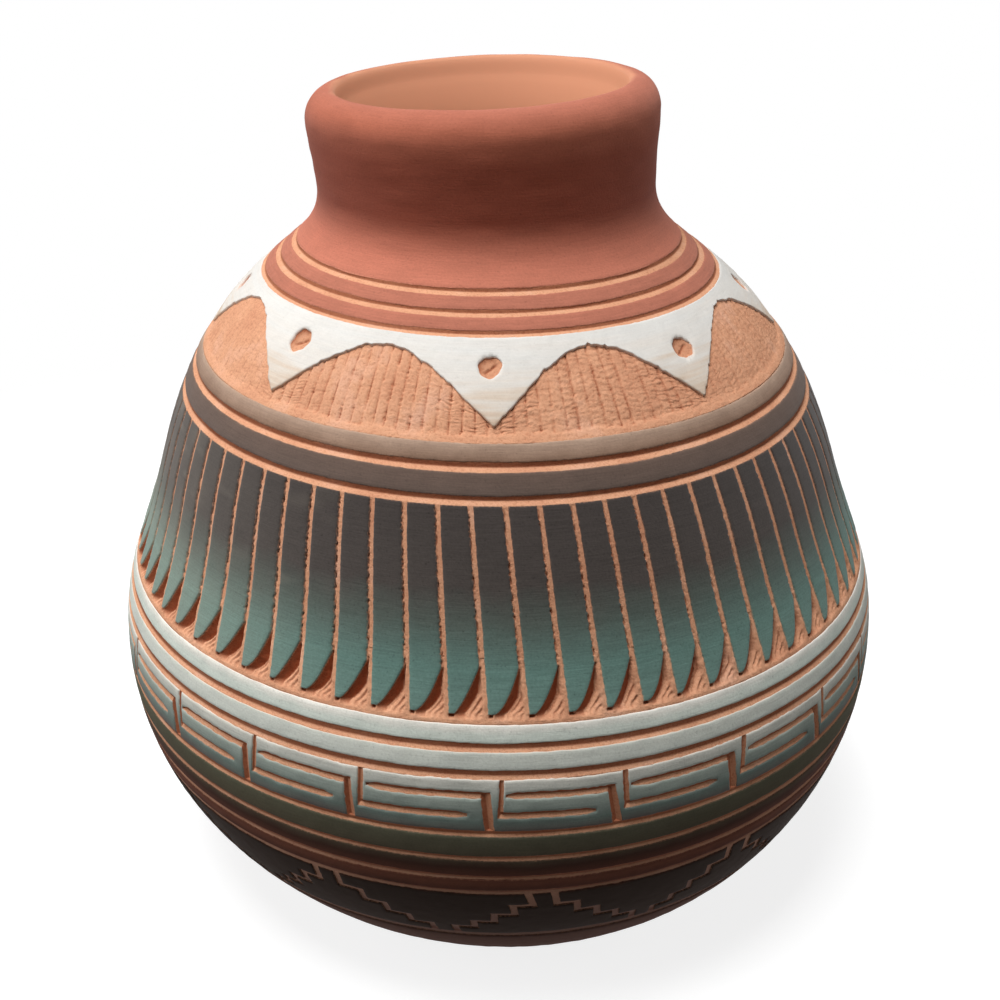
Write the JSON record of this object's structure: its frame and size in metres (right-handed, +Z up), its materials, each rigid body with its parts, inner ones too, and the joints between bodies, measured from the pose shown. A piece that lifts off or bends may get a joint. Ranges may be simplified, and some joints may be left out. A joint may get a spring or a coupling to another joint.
{
  "type": "seed pot",
  "caption": "Round-bellied clay pot with a short neck and rolled lip, its coloured slip fields etched apart down to bare clay, for holding seeds and for display.",
  "frame": {"origin": "middle of the flat base, on the table", "axes": "+Z up along the pot's axis of revolution; -Y is the front of the pattern, +X to the right of it"},
  "size_m": [0.116, 0.116, 0.1205],
  "materials": {
    "clay": "bare fired clay, scraped matte",
    "red_slip": "matte red slip, rubbed",
    "white_slip": "matte white slip",
    "brown_slip": "matte grey-brown slip",
    "feather_slip": "charcoal slip shading to teal, rubbed satin",
    "pale_slip": "matte pale blue-grey slip",
    "teal_slip": "matte teal slip, paler at the top",
    "dark_slip": "matte near-black brown slip"
  },
  "bodies": {
    "root": {"clay_body": "clay", "neck_slip": "red_slip", "red_ring_upper": "red_slip", "red_ring_lower": "red_slip", "white_scallop_band": "white_slip", "brown_ring_upper": "brown_slip", "brown_ring_lower": "brown_slip", "feather_blades": "feather_slip", "pale_ring_upper": "pale_slip", "pale_ring_lower": "pale_slip", "key_fret_band": "teal_slip", "dark_ring_upper": "dark_slip", "dark_ring_middle": "dark_slip", "dark_ring_lower": "dark_slip", "step_pyramids": "dark_slip", "step_pendants": "dark_slip", "foot_slip": "dark_slip"}
  },
  "joints": []
}
